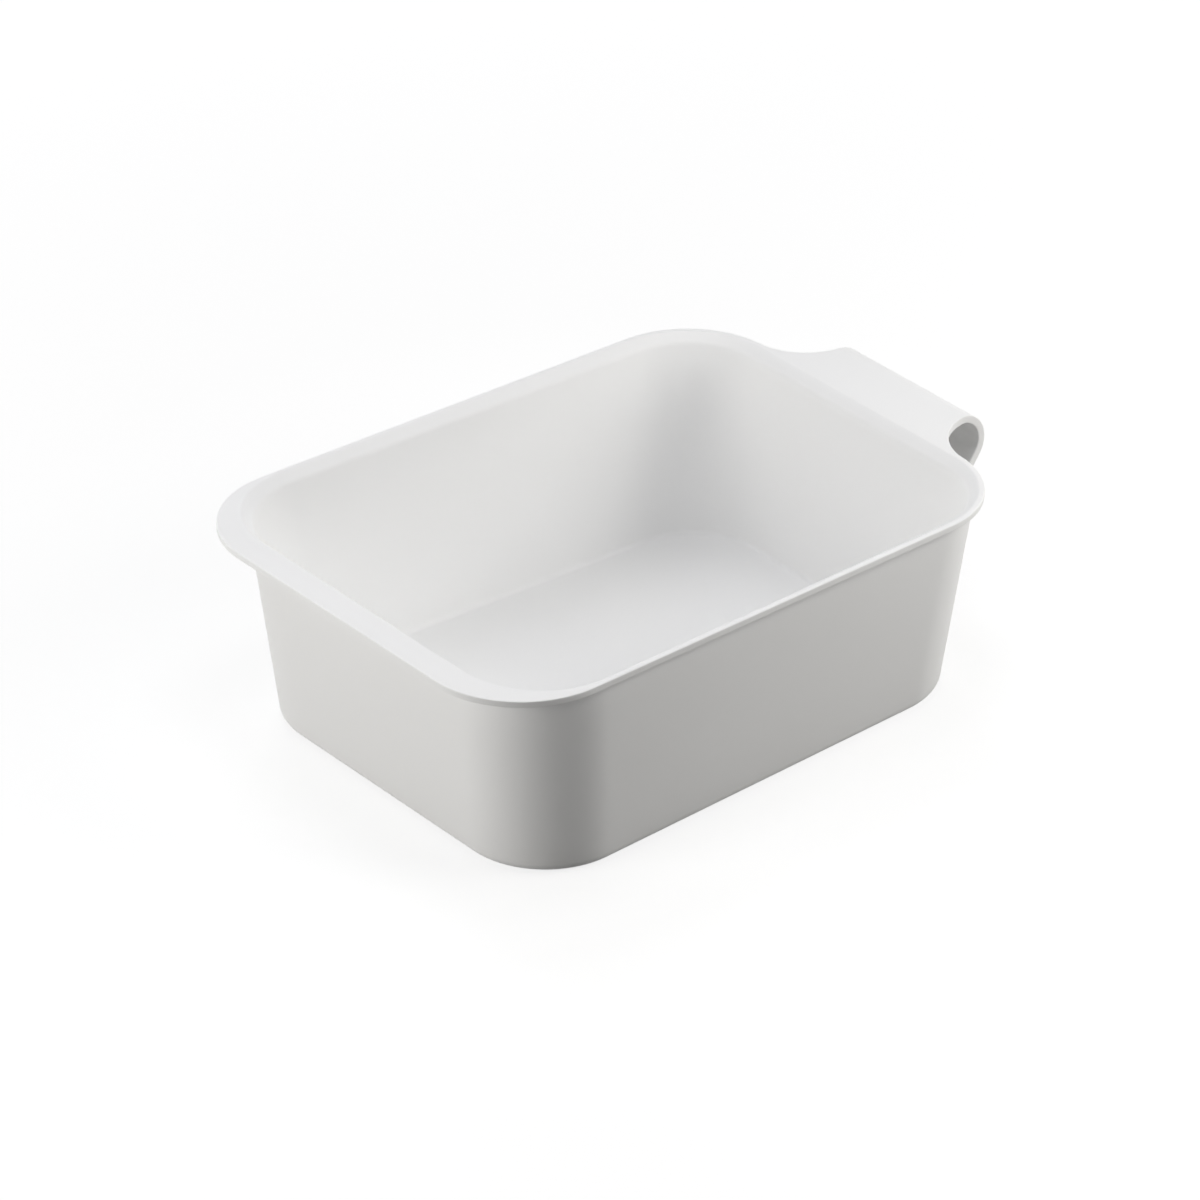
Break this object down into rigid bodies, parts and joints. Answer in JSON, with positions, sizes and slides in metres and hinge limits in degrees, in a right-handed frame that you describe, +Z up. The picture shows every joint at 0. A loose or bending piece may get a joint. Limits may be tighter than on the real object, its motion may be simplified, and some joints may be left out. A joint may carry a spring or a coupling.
{
  "type": "rectangular bucket",
  "caption": "Open rectangular tub with rounded corners, a flared rim, a wide flat flange at one end and a plate at the other end that curls over into a hook grip.",
  "frame": {"origin": "middle of the object's box, on the surface that it stands on", "axes": "+Z up, +X towards the hook grip, +Y across; the part mirrors itself across the XZ plane"},
  "size_m": [0.3362, 0.2304, 0.1008],
  "materials": {
    "shell_plastic": "satin, off-white polypropylene",
    "rim_plastic": "satin, off-white polypropylene",
    "plate_plastic": "satin, off-white polypropylene",
    "curl_plastic": "satin, off-white polypropylene"
  },
  "bodies": {
    "root": {"tub_shell": "shell_plastic", "rim_flange": "rim_plastic", "handle_plate": "plate_plastic", "grip_curl": "curl_plastic"}
  },
  "joints": []
}
